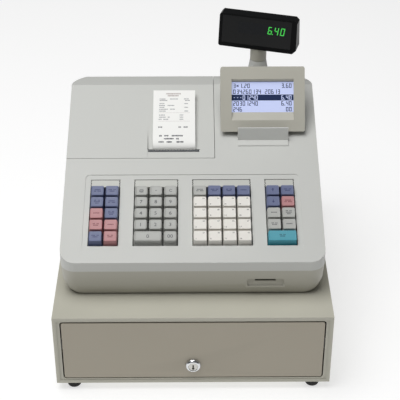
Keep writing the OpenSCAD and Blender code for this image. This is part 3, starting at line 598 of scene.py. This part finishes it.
def key_cap(bm, low, high, sizes_mm):
    """Adds a cap with leaning flanks, round corners and a dish, and its stem, from its solid's box."""
    corner_mm, rim_mm, ring_mm, dish_mm = sizes_mm
    stem_n = high.z - CAP_HEIGHT_MM * MM
    verts = block(bm, (low.x, low.y, stem_n), (high.x, high.y, high.z))
    edges = {e for v in verts for e in v.link_edges}
    faces = {f for v in verts for f in v.link_faces}
    # the flanks start to lean where they leave the deck
    cut = bmesh.ops.bisect_plane(
        bm,
        geom=list(verts) + list(edges) + list(faces),
        plane_co=(0, 0, 0),
        plane_no=(0, 0, 1),
        dist=1e-7,
    )
    mine = set(verts) | {g for g in cut["geom_cut"] if isinstance(g, bmesh.types.BMVert)}
    for v in mine:
        if v.co.z > high.z - MM:
            v.co.x += CAP_FLANK_MM["side"] * MM * (1 if v.co.x < (low.x + high.x) / 2 else -1)
            v.co.y += (CAP_FLANK_MM["front"] if v.co.y < (low.y + high.y) / 2 else -CAP_FLANK_MM["back"]) * MM
    edges = {e for v in mine for e in v.link_edges}
    upright = [e for e in edges if abs((e.verts[0].co - e.verts[1].co).z) > 2 * MM]
    round_edges(bm, upright, corner_mm, 3)

    def top_faces():
        """This cap's flat top, among the faces of every cap in the mesh."""
        bm.normal_update()
        found = []
        for f in bm.faces:
            spot = f.calc_center_median()
            inside = low.x < spot.x < high.x and low.y < spot.y < high.y
            if inside and f.normal.z > 0.99 and abs(spot.z - high.z) < 0.01 * MM:
                found.append(f)
        return found

    rim = {e for f in top_faces() for e in f.edges}
    round_edges(bm, list(rim), rim_mm, 3)
    top = top_faces()
    for share in DISH_SHARES:
        bmesh.ops.inset_region(
            bm,
            faces=top,
            thickness=ring_mm * MM * share,
            depth=-dish_mm * MM * share,
            use_even_offset=True,
        )
    half = STEM_HALF_MM * MM
    middle = (low + high) / 2
    block(
        bm, (middle.x - half, middle.y - half, low.z), (middle.x + half, middle.y + half, stem_n + 0.01 * MM)
    )


# Colour of each key, from the row farthest from the operator to the nearest
COLUMN_COLOURS = {
    "keys_left_a": "blue blue pink pink blue",
    "keys_left_b": "blue blue blue pink pink",
    "keys_sale_a": "grey white white white white",
    "keys_sale_b": "blue white white white white",
    "keys_sale_c": "blue white white white white",
    "keys_sale_d": "blue white white white white",
    "keys_right_a": "blue blue grey grey",
    "keys_right_b": "blue pink grey grey",
    "key_total": "cyan",
}
INK = {"blue": "ink_navy", "pink": "ink_red", "grey": "ink_grey", "white": "ink_dark", "cyan": "ink_teal"}
NUMBER_SIGNS = {
    "key_at": "@", "key_point": "•", "key_clear": "C", "key_7": "7", "key_8": "8", "key_9": "9",
    "key_4": "4", "key_5": "5", "key_6": "6", "key_1": "1", "key_2": "2", "key_3": "3",
    "key_0": "0", "key_00": "00",
}
# Small plain bars in place of the words on the function keys: how many in each word, a list a line
WORDS = [
    [[5], [2, 3]],
    [[2, 2], [5], [3]],
    [[5]],
    [[2, 2], [4]],
    [[3, 2], [4]],
]
LINE_MM = 2.35
BAR_MM = 1.5
BAR_W = 1.15
BAR_STEP = BAR_W + 0.45
# a department key's print, and its second, higher number: how tall, where, and how much larger the number
NUMBER_MM, NUMBER_AT = 2.3, (-5.4, -4.4)
SECOND_MM, SECOND_AT, SECOND_MORE = 2.1, (4.6, 4.6), 20
NUMBER_HEAVY = 0.03
SIGN_HEAVY = 0.07
DIGIT_MM, SMALL_SIGN_MM = 5.4, 4.4


def shifted(place, x_mm, y_mm):
    """A frame moved within its own plane."""
    return place @ Matrix.Translation((x_mm * MM, y_mm * MM, 0))


def arrow(bm, sign, place):
    """Adds an arrow up or down, a bar and a three-sided head."""
    low_y, high_y = sorted((-2.2 * sign, 0.4 * sign))
    block(bm, (-0.5 * MM, low_y * MM, -INK_HALF), (0.5 * MM, high_y * MM, INK_HALF), place)
    turn = Matrix.Rotation(math.pi * (sign < 0), 4, "Z")
    bmesh.ops.create_cone(
        bm,
        cap_ends=True,
        segments=3,
        radius1=1.9 * MM,
        radius2=1.9 * MM,
        depth=INK_MM * MM,
        matrix=shifted(place, 0, 1.2 * sign) @ turn,
    )


def legends(bm, colour, place, number):
    """Adds a function or department key's print: small numbers, an arrow or bars for words."""
    if colour == "white":
        lettering(bm, str(number), NUMBER_MM, shifted(place, *NUMBER_AT), NUMBER_HEAVY)
        lettering(bm, str(number + SECOND_MORE), SECOND_MM, shifted(place, *SECOND_AT), NUMBER_HEAVY)
        return
    if number in ("up", "down"):
        arrow(bm, 1 if number == "up" else -1, place)
        return
    lines = WORDS[number % len(WORDS)]
    for i, words in enumerate(lines):
        y = ((len(lines) - 1) / 2 - i) * LINE_MM
        x = -(sum(words) + len(words) - 1) * BAR_STEP / 2
        for signs in words:
            for k in range(signs):
                bar(bm, BAR_W, BAR_MM, shifted(place, x + (k + 0.5) * BAR_STEP, y))
            x += (signs + 1) * BAR_STEP


def print_place(low, high, sizes_mm):
    """The frame on which a cap's print lies, on the floor of its dish."""
    dish_mm = sizes_mm[-1]
    top = Vector(
        ((low.x + high.x) / 2, (low.y + high.y) / 2 + PRINT_UP_MM * MM, high.z - (dish_mm - INK_MM) * MM)
    )
    return DECK @ Matrix.Translation(top)


def build_keys():
    """Makes every cap and its print, each riding on its own column or key."""
    for node, colours in COLUMN_COLOURS.items():
        column = "abcd".index(node[-1]) if node[-1] in "abcd" else 2
        for row, ((low, high), colour) in enumerate(zip(islands(node, DECK), colours.split())):
            bm = bmesh.new()
            key_cap(bm, low, high, FLAT_CAP_MM)
            bm.transform(DECK)
            piece(f"{node}_cap_{row + 1}", bm, "keycap_" + colour, BODY[node], [node])
            ink = bmesh.new()
            number = row + 4 * column
            if colour == "white":
                number = 5 - row + 5 * column
            elif node == "keys_right_a" and row < 2:
                number = ("up", "down")[row]
            legends(ink, colour, print_place(low, high, FLAT_CAP_MM), number)
            name = f"{node}_print_{row + 1}"
            piece(name, ink, INK[colour], BODY[node], smooth=10, evened=False)
    for node, sign in NUMBER_SIGNS.items():
        low, high = islands(node, DECK)[0]
        high.z = DECK_TOP
        bm = bmesh.new()
        key_cap(bm, low, high, ROUND_CAP_MM)
        bm.transform(DECK)
        piece(node + "_cap", bm, "keycap_grey", BODY[node], [node])
        ink = bmesh.new()
        height = DIGIT_MM if sign.isdigit() else SMALL_SIGN_MM
        lettering(ink, sign, height, print_place(low, high, ROUND_CAP_MM), SIGN_HEAVY)
        piece(node + "_print", ink, "ink_grey", BODY[node], smooth=10, evened=False)


DECK_TOP = islands("keys_sale_a", DECK)[0][1].z  # the number caps' rims are level with the department keys'
build_keys()

# ---------- keyboard panel ----------

TAB_MM = 1.3
TAB_OUT_MM = 0.9
TAB_SHARES = (0.2, 0.5, 0.8)  # places along a strip's side
# width of the painted shade along a strip's groove, and how many dashes of it run down each side
GROOVE_MM = 0.75
DASHES = 3
DASH_LIFT_MM, DASH_MM = 0.02, 0.05  # how far a dash stands out, and how thick it is


def label_tabs():
    """Small tabs that hold each label strip in its well, and painted shade round it: a dark broken line over its
    groove.
    """
    bm = bmesh.new()
    for low, high in islands("bank_labels", DECK):
        for side, edge in ((-1, low.x), (1, high.x)):
            out = edge + side * TAB_OUT_MM * MM
            for share in TAB_SHARES:
                y = low.y + (high.y - low.y) * share
                block(
                    bm,
                    (min(edge, out), y - TAB_MM / 2 * MM, -1.6 * MM),
                    (max(edge, out), y + TAB_MM / 2 * MM, -0.5 * MM),
                    DECK,
                )
    piece("label_tabs", bm, "polycarbonate_label", "register", smooth=20)
    # painted shade: near-black blocks along each strip's far edge and dashed down its sides, where its groove lies
    # in shade
    dark = bmesh.new()
    for low, high in islands("bank_labels", DECK):
        top = high.z + DASH_LIFT_MM * MM
        under = top - DASH_MM * MM
        block(dark, (low.x, high.y - GROOVE_MM * MM, under), (high.x, high.y, top), DECK)
        step = (high.y - low.y) / DASHES
        for i in range(DASHES):
            y0 = low.y + (i + 0.1) * step
            for x0 in (low.x, high.x - GROOVE_MM * MM):
                y1 = min(y0 + 0.6 * step, high.y - GROOVE_MM * MM)
                block(dark, (x0, y0, under), (x0 + GROOVE_MM * MM, y1, top), DECK)
    piece("label_groove_shade", dark, "painted_gap_shade", "register", smooth=10, evened=False)


label_tabs()

# ---------- receipt ----------

# The receipt's rows, from its free end: distance from that end, height of the print, and the words as
# (distance from the left edge, signs) in millimetres. A heavy row is printed darker.
RECEIPT_ROWS = [
    (6.0, 2.2, "pale", [(17.5, 7), (28.5, 6)]),
    (9.4, 2.2, "pale", [(19.5, 10)]),
    (15.0, 1.5, "light", [(8.5, 6), (23.0, 8), (42.0, 5)]),
    (17.6, 1.5, "light", [(8.5, 8), (43.5, 5)]),
    (23.0, 1.5, "light", [(8.5, 5), (42.5, 4)]),
    (26.2, 1.5, "light", [(8.0, 6), (19.5, 7)]),
    (29.4, 1.5, "light", [(8.5, 5), (42.5, 4)]),
    (32.6, 1.5, "light", [(8.0, 9), (23.0, 5)]),
    (35.8, 1.5, "light", [(8.0, 7), (42.5, 4)]),
    (42.6, 1.5, "light", [(8.0, 6), (36.0, 4)]),
    (46.2, 1.5, "light", [(8.0, 7), (20.0, 2), (36.0, 4)]),
    (49.8, 1.5, "light", [(7.5, 3), (14.0, 5), (36.0, 4)]),
    (63.0, 2.0, "heavy", [(7.0, 3), (34.5, 2), (41.5, 3)]),
    (77.0, 2.2, "heavy", [(8.5, 2), (15.5, 3), (25.5, 8)]),
    (81.6, 2.2, "heavy", [(15.0, 7), (31.5, 2)]),
    (86.2, 2.2, "heavy", [(7.5, 4), (18.5, 4), (32.0, 5)]),
]
SIGN_MM = {"pale": 1.3, "light": 1.1, "heavy": 1.65}
SIGN_GAP_MM = 0.25
LOW_SIGN = 0.75  # every third sign is this much lower, so that a row doesn't look like a ruled line
RECEIPT_RULES = (38.6, 53.0)
RULE_START, RULE_STEP, RULE_DASHES = 9.5, 4.8, 9
RULE_MM = (4.4, 0.3)
RECEIPT_INK_MM = 0.02


def build_receipt():
    """A paper strip that follows its solid, with plain bars and rules in place of its print."""
    bm = bmesh.new()
    bm.from_mesh(NODES["receipt_paper"].data)
    bmesh.ops.remove_doubles(bm, verts=bm.verts, dist=0.01 * MM)
    tree = BVHTree.FromBMesh(bm)
    points = [DECK.inverted() @ v.co for v in bm.verts]
    left = min(p.x for p in points)
    free_end = max(p.y for p in points)
    down = DECK.to_3x3() @ Vector((0, 0, -1))
    body = BODY["receipt_paper"]
    paper = "thermal_paper"
    piece("receipt_strip", bm, paper, body, ["receipt_paper"], smooth=40, evened=False)

    def on_paper(x, back):
        """A frame on the paper's upper face, so far in from its left edge and back from its free end."""
        above = DECK @ Vector((left + x * MM, free_end - back * MM, 0.05))
        spot, normal = tree.ray_cast(above, down)[:2]
        return level_frame(spot + normal * RECEIPT_INK_MM * MM, normal)

    inks = {"pale": bmesh.new(), "light": bmesh.new(), "heavy": bmesh.new()}
    for back, height, weight, words in RECEIPT_ROWS:
        width = SIGN_MM[weight]
        for start, signs in words:
            for i in range(signs):
                spot = on_paper(start + (i + 0.5) * (width + SIGN_GAP_MM), back)
                tall = height * LOW_SIGN if (i + signs) % 3 == 1 else height
                bar(inks[weight], width, tall, spot, RECEIPT_INK_MM)
    for back in RECEIPT_RULES:
        for i in range(RULE_DASHES):
            bar(inks["pale"], *RULE_MM, on_paper(RULE_START + i * RULE_STEP, back), RECEIPT_INK_MM)
    for weight, ink in inks.items():
        name = "receipt_print_" + weight
        piece(name, ink, "thermal_print_" + weight, body, smooth=10, evened=False)


build_receipt()

# ---------- figures of the displays ----------

# the lit strokes of each figure, of seven: a top, b upper right, c lower right, d bottom, e lower left,
# f upper left, g middle
STROKES = {"0": "abcdef", "1": "bc", "2": "abged", "3": "abgcd", "4": "fgbc", "6": "afedcg", "-": "g"}


def seven_stroke(bm, figure, width, height, stroke, place, gap=0.0):
    """Adds one figure of a seven-stroke display, its left lower corner at the frame's origin."""
    half = height / 2
    spots = {
        "a": (0, height - stroke, width, height),
        "g": (0, half - stroke / 2, width, half + stroke / 2),
        "d": (0, 0, width, stroke),
        "f": (0, half, stroke, height),
        "b": (width - stroke, half, width, height),
        "e": (0, 0, stroke, half),
        "c": (width - stroke, 0, width, half),
    }
    level_end, upright_end = stroke + gap / 2, gap / 2
    for name in STROKES[figure]:
        x0, y0, x1, y1 = spots[name]
        end_x, end_y = (level_end, 0) if name in "agd" else (0, upright_end)
        block(bm, (x0 + end_x, y0 + end_y, -INK_HALF), (x1 - end_x, y1 - end_y, INK_HALF), place)


FIGURE_W = 3.3 * MM
FIGURE_H = 5.9 * MM
FIGURE_STEP = 4.3 * MM
POINT_STEP = 2.0 * MM
FIGURE_STROKE = 0.85 * MM


def figures_width(text):
    """How wide a row of screen figures is."""
    return sum(POINT_STEP if sign == "." else FIGURE_STEP for sign in text)


def figures(bm, text, place):
    """Adds a row of the screen's figures from the frame's origin to the right, centred in height."""
    x = 0.0
    for sign in text:
        spot = place @ Matrix.Translation((x, -FIGURE_H / 2, 0))
        if sign == ".":
            block(bm, (-0.2 * MM, 0, -INK_HALF), (0.9 * MM, 1.1 * MM, INK_HALF), spot)
            x += POINT_STEP
        elif sign == " ":
            x += FIGURE_STEP
        else:
            seven_stroke(bm, sign, FIGURE_W, FIGURE_H, FIGURE_STROKE, spot)
            x += FIGURE_STEP


# ---------- operator display ----------

SCREEN = face_frame("lcd_screen", (0, -0.8, 0.6))
SCREEN_W = 84 * MM
SCREEN_H = 39.8 * MM
SCREEN_ROWS = 5
SCREEN_DEEP = 4.5 * MM
# the sill: its level run from the bezel's front wall to the screen, and the share of its slope that shows
SILL_RUN = 11.0 * MM
SILL_SHARE = 0.50
SILL_THICK = 0.6 * MM


def build_screen():
    """The liquid crystal's rows of figures, one of them in reverse, and the sill below them."""
    dark, light = bmesh.new(), bmesh.new()
    lift = SCREEN @ Matrix.Translation((0, 0, 0.04 * MM))
    pitch = SCREEN_H / SCREEN_ROWS
    left = -SCREEN_W / 2 + 2.2 * MM
    right = SCREEN_W / 2 - 1.6 * MM

    def at(row, x, out=0.0):
        return lift @ Matrix.Translation((x, SCREEN_H / 2 - (row + 0.5) * pitch, out * MM))

    # row, ink, item number at the left, amount at the right, and how far they stand out
    for row, ink, item, amount, out in (
        (0, dark, "3", "3.60", 0.0),
        (1, dark, "034260134 20613", "", 0.0),
        (2, light, "---01240", "6.40", 0.04),
        (3, dark, "20301240", "6.40", 0.0),
        (4, dark, "246", "00", 0.0),
    ):
        figures(ink, item, at(row, left, out))
        figures(ink, amount, at(row, right - figures_width(amount), out))
    for turn in (45, -45):
        cross = at(0, left + 1.4 * FIGURE_STEP) @ Matrix.Rotation(math.radians(turn), 4, "Z")
        block(dark, (-1.9 * MM, -0.45 * MM, -INK_HALF), (1.9 * MM, 0.45 * MM, INK_HALF), cross)
    figures(dark, "1.20", at(0, left + 2 * FIGURE_STEP))
    block(dark, (-SCREEN_W / 2, -pitch / 2, -INK_HALF), (SCREEN_W / 2, pitch / 2, INK_HALF), at(2, 0))
    body = BODY["lcd_screen"]
    # the sloping sill between the bezel's front wall and the screen's lower edge
    sill = bmesh.new()
    slope = math.atan2(SCREEN_DEEP, SILL_RUN)
    long = math.hypot(SILL_RUN, SCREEN_DEEP) * SILL_SHARE
    edge = SCREEN @ Matrix.Translation((0, -SCREEN_H / 2, 0.05 * MM))
    lower = edge @ Matrix.Rotation(-slope, 4, "X")
    block(sill, (-SCREEN_W / 2, -long, -SILL_THICK), (SCREEN_W / 2, 0, 0), lower)
    piece("screen_sill", sill, "moulded_abs_warm", body, evened=False)
    piece("screen_dark_rows", dark, "crystal_dark", body, smooth=10, evened=False)
    piece("screen_light_rows", light, "crystal_light", body, smooth=10, evened=False)


build_screen()

# ---------- customer display ----------

WINDOW = face_frame("head_window", (0, -1, 0.2))
AMOUNT = (("6", 15.5), ("4", 24.4), ("0", 33.0))  # each figure and its distance from the window's middle
AMOUNT_POINT = (22.0, 23.2)
AMOUNT_MM = (5.6, 10.5, 1.15)  # a figure's width, height and stroke
AMOUNT_GAP_MM = 0.35
AMOUNT_LOW_MM = -1.0
AMOUNT_SLANT = 0.14
FILTER_MM = ((-26, -3.5), (43, 12.5))  # opposite corners of the filter


def build_head():
    """The customer display's dark filter and its glowing amount."""
    bm = bmesh.new()
    lift = WINDOW @ Matrix.Translation((0, 0, 0.06 * MM))
    slant = Matrix(((1, AMOUNT_SLANT, 0, 0), (0, 1, 0, 0), (0, 0, 1, 0), (0, 0, 0, 1)))
    width, height, stroke = (size * MM for size in AMOUNT_MM)
    for figure, x in AMOUNT:
        spot = shifted(lift, x, AMOUNT_LOW_MM) @ slant
        seven_stroke(bm, figure, width, height, stroke, spot, AMOUNT_GAP_MM * MM)
    left, right = (x * MM for x in AMOUNT_POINT)
    low = AMOUNT_LOW_MM * MM
    block(bm, (left, low, -INK_HALF), (right, low + 1.2 * MM, INK_HALF), lift)
    piece("amount_figures", bm, "phosphor_digit", "customer_display", smooth=10, evened=False)
    bm = bmesh.new()
    film = 0.02 * MM
    (x0, y0), (x1, y1) = FILTER_MM
    face = WINDOW @ Matrix.Translation((0, 0, film))
    block(bm, (x0 * MM, y0 * MM, -film), (x1 * MM, y1 * MM, film), face)
    piece("amount_filter", bm, "display_filter", "customer_display", smooth=10, evened=False)


build_head()

# ---------- back of the console ----------

LOUVRE_COLUMNS = (-70.0, -20.0)
LOUVRE_ROWS = 8
LOUVRE_MM = 38.0
LOUVRE_PITCH = 5.2
LOUVRE_FOOT_Z = 0.184
LOUVRE_LEAN = -22
PLATE_MM = (66.0, 30.0)
PLATE_AT = (0.078, 0.205)
LINE_IN, LINE_W = 1.6, 0.5  # the printed border's distance from the plate's edge, and its width
BACK_SCREWS = ((-0.112, 0.178), (0.112, 0.178), (-0.112, 0.14), (0.03, 0.14))
SCREW_R = 3.6 * MM


def build_back():
    """Cooling louvres, a blank rating plate and recessed screws on the console's back, with painted shade in the
    louvres' gaps and the screws' slots.
    """
    walls = bmesh.new()
    for node in ("case_top", "case_base"):
        walls.from_mesh(NODES[node].data)
    tree = BVHTree.FromBMesh(walls)
    walls.free()

    def on_back(x, z):
        spot, normal = tree.ray_cast(Vector((x, 0.4, z)), Vector((0, -1, 0)))[:2]
        return level_frame(spot, normal)

    blades, gap_shade = bmesh.new(), bmesh.new()
    half = LOUVRE_MM / 2
    for x in LOUVRE_COLUMNS:
        for row in range(LOUVRE_ROWS):
            place = on_back(x * MM, LOUVRE_FOOT_Z + row * LOUVRE_PITCH * MM)
            # painted shade: a near-black block behind each blade, where the gap between the louvres lies in shade
            block(gap_shade, (-half * MM, -1.1 * MM, -0.05 * MM), (half * MM, 0.5 * MM, 0.06 * MM), place)
            turn = Matrix.Rotation(math.radians(LOUVRE_LEAN), 4, "X")
            lean = place @ Matrix.Translation((0, 0.6 * MM, 0.35 * MM)) @ turn
            wide = (half + 1) * MM
            block(blades, (-wide, -1.5 * MM, -0.45 * MM), (wide, 1.2 * MM, 0.45 * MM), lean, 0.35)
    piece("vent_louvres", blades, "moulded_abs_pale", "register")
    piece("vent_gap_shade", gap_shade, "painted_gap_shade", "register", evened=False)

    plate, line = bmesh.new(), bmesh.new()
    place = on_back(*PLATE_AT)
    wide, high = PLATE_MM[0] / 2, PLATE_MM[1] / 2
    block(plate, (-wide * MM, -high * MM, -0.05 * MM), (wide * MM, high * MM, 0.12 * MM), place, 0.05)
    out_x, out_y = wide - LINE_IN, high - LINE_IN
    in_x, in_y = out_x - LINE_W, out_y - LINE_W
    for x0, y0, x1, y1 in (
        (-out_x, in_y, out_x, out_y),
        (-out_x, -out_y, out_x, -in_y),
        (-out_x, -in_y, -in_x, in_y),
        (in_x, -in_y, out_x, in_y),
    ):
        block(line, (x0 * MM, y0 * MM, 0.1 * MM), (x1 * MM, y1 * MM, 0.15 * MM), place)
    piece("rating_plate", plate, "polyester_plate", "register")
    piece("rating_plate_line", line, "ink_dark", "register", smooth=10, evened=False)

    heads, slot_shade = bmesh.new(), bmesh.new()
    for x, z in BACK_SCREWS:
        place = on_back(x, z)
        head = bmesh.ops.create_cone(
            heads, cap_ends=True, segments=32, radius1=SCREW_R, radius2=SCREW_R * 0.8, depth=1.3 * MM,
            matrix=place @ Matrix.Translation((0, 0, 0.5 * MM)),
        )["verts"]
        edges = {e for v in head for e in v.link_edges}
        rim = [e for e in edges if len(e.link_faces) == 2 and e.calc_face_angle(0) > 0.6]
        round_edges(heads, rim, 0.25, 2)
        # painted shade: a near-black cross on each head, where its slot lies in shade; the head itself is not cut
        for turn in (0, 90):
            cross = place @ Matrix.Rotation(math.radians(turn + 20), 4, "Z")
            block(slot_shade, (-1.9 * MM, -0.35 * MM, 1.0 * MM), (1.9 * MM, 0.35 * MM, 1.18 * MM), cross)
    piece("back_screws", heads, "zinc_plated_steel", "register")
    piece("back_screw_slot_shade", slot_shade, "painted_gap_shade", "register", smooth=10, evened=False)


build_back()

# ---------- drawer lock ----------

DOME_RISE_MM = 4.4
DOME_STEPS = 8
BARREL_MM = 8.0


def build_lock():
    """The lock's polished ring, turned about its cylinder."""
    low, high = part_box("lock_bezel")
    plug_low, plug_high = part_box("lock_cylinder")
    centre = Vector(((low.x + high.x) / 2, 0, (low.z + high.z) / 2))
    outer = (high.x - low.x) / 2
    inner = (plug_high.x - plug_low.x) / 2 + 0.05 * MM
    face = low.y
    back_end = high.y - face
    rise = DOME_RISE_MM * MM
    barrel = BARREL_MM * MM
    crown = inner + 0.6 * MM
    # radius and distance behind the face, from the bore round the dome to the barrel
    outline = [(inner, 6.0 * MM), (inner, 0.35 * MM), (inner + 0.35 * MM, 0.0)]
    for i in range(1, DOME_STEPS + 1):
        turn = math.pi / 2 * i / DOME_STEPS
        outline.append((crown + (outer - crown) * math.sin(turn), rise * (1 - math.cos(turn))))
    outline += [(outer, rise - 0.02 * MM), (barrel, rise), (barrel, back_end), (inner, back_end)]
    bm = bmesh.new()
    verts = [bm.verts.new((centre.x + r, face + back, centre.z)) for r, back in outline]
    edges = [bm.edges.new(pair) for pair in zip(verts, verts[1:] + verts[:1])]
    bmesh.ops.spin(
        bm,
        geom=verts + edges,
        cent=centre,
        axis=(0, 1, 0),
        angle=2 * math.pi,
        steps=64,
        use_merge=True,
        use_duplicate=False,
    )
    bmesh.ops.remove_doubles(bm, verts=bm.verts, dist=0.001 * MM)
    bmesh.ops.recalc_face_normals(bm, faces=bm.faces)
    piece("lock_ring", bm, "chrome_plate", BODY["lock_bezel"], ["lock_bezel"], smooth=40)


build_lock()


# ---------- floor ----------

FLOOR_SIZE = 12  # metres, as the grid operator counts it


def floor():
    """A plain pale floor."""
    bm = bmesh.new()
    bmesh.ops.create_grid(bm, x_segments=1, y_segments=1, size=FLOOR_SIZE)
    mesh = bpy.data.meshes.new("floor")
    bm.to_mesh(mesh)
    bm.free()
    mesh.materials.append(FINISH["opal_floor"])
    made = bpy.data.objects.new("floor", mesh)
    bpy.context.scene.collection.objects.link(made)


floor()
